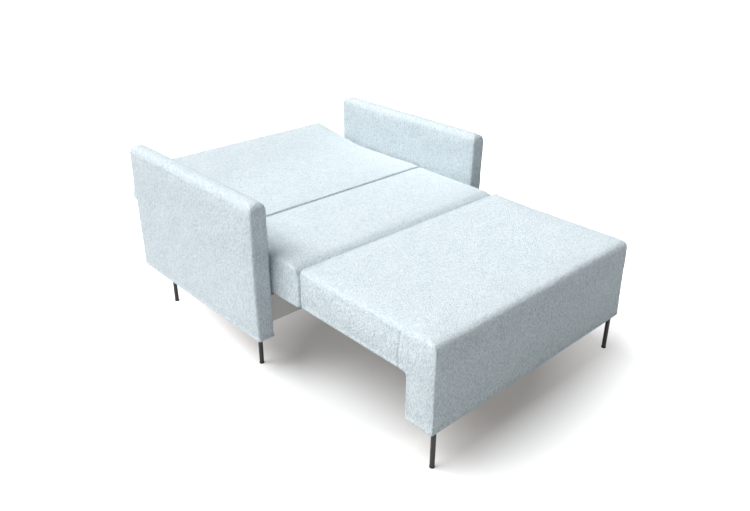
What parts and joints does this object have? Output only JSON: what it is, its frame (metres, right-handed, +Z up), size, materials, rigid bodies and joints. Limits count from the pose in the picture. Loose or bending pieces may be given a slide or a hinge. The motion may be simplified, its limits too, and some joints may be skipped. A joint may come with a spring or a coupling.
{
  "type": "sofa_bed",
  "caption": "Compact two-seat sofa bed with slim padded arms; the seat pulls forward on runners and the folding back lies flat to make a bed.",
  "frame": {"origin": "centre of the footprint of the opened bed, on the floor", "axes": "+X across the bed, +Y from the foot end to the head end, +Z up"},
  "size_m": [1.236, 1.8772, 0.684],
  "materials": {
    "upholstery": "ice blue looped pile fabric",
    "plywood": "birch plywood, plain",
    "painted_board": "light warm grey faced board",
    "timber": "planed softwood",
    "black_plastic": "black nylon",
    "black_steel": "matte black powder coat",
    "felt": "grey felt",
    "zinc_steel": "zinc plated"
  },
  "bodies": {
    "base": {"base_front_board": "painted_board", "base_rear_board": "painted_board", "arm_bolts": "zinc_steel", "rest_pads": "felt", "left_arm": "upholstery", "left_arm_sill": "timber", "left_side_board": "timber", "left_bearer": "timber", "left_runner_channel": "zinc_steel", "left_arm_leg_front": "black_steel", "left_arm_leg_rear": "black_steel", "right_arm": "upholstery", "right_arm_sill": "timber", "right_side_board": "timber", "right_bearer": "timber", "right_runner_channel": "zinc_steel", "right_arm_leg_front": "black_steel", "right_arm_leg_rear": "black_steel", "arm_leg_glides": "black_plastic"},
    "front_section": {"front_pad": "upholstery", "front_panel": "plywood", "apron_rail": "timber", "left_front_leg": "black_steel", "left_seat_rail": "zinc_steel", "right_front_leg": "black_steel", "right_seat_rail": "zinc_steel", "front_leg_glides": "black_plastic"},
    "left_slider": {"left_runner_slider": "zinc_steel"},
    "right_slider": {"right_runner_slider": "zinc_steel"},
    "pivot_carriage": {"pivot_tube": "zinc_steel", "left_pivot_block": "black_plastic", "right_pivot_block": "black_plastic"},
    "middle_section": {"middle_pad": "upholstery", "middle_panel": "plywood", "left_lift_lever": "zinc_steel", "right_lift_lever": "zinc_steel", "middle_hinge_leaves": "zinc_steel", "hinge_pins": "zinc_steel"},
    "back_section": {"back_pad": "upholstery", "back_panel": "plywood", "head_panel": "plywood", "back_hinge_leaves": "zinc_steel"}
  },
  "joints": [
    {"name": "front_slide", "type": "slide", "parent": "base", "child": "front_section", "axis": [0, 1, 0], "range_m": [0, 0.755]},
    {"name": "left_slider_slide", "type": "slide", "parent": "base", "child": "left_slider", "axis": [0, 1, 0], "range_m": [0, 0.3775]},
    {"name": "right_slider_slide", "type": "slide", "parent": "base", "child": "right_slider", "axis": [0, 1, 0], "range_m": [0, 0.3775]},
    {"name": "pivot_slide", "type": "slide", "parent": "front_section", "child": "pivot_carriage", "axis": [0, 1, 0], "range_m": [0, 0.211]},
    {"name": "middle_lift", "type": "hinge", "parent": "pivot_carriage", "child": "middle_section", "pos_m": [0, -0.46376, 0.305], "axis": [1, 0, 0], "range_deg": [0, 81]},
    {"name": "back_fold", "type": "hinge", "parent": "middle_section", "child": "back_section", "pos_m": [0, 0.15374, 0.309], "axis": [-1, 0, 0], "range_deg": [0, 180]}
  ],
  "couplings": [
    {"joint": "left_slider_slide", "follows": "front_slide", "ratio": 0.5},
    {"joint": "right_slider_slide", "follows": "front_slide", "ratio": 0.5},
    {"joint": "pivot_slide", "follows": "front_slide", "ratio": 0.2794},
    {"joint": "middle_lift", "follows": "front_slide", "rad_per_m": 1.8724},
    {"joint": "back_fold", "follows": "front_slide", "rad_per_m": 4.161}
  ]
}
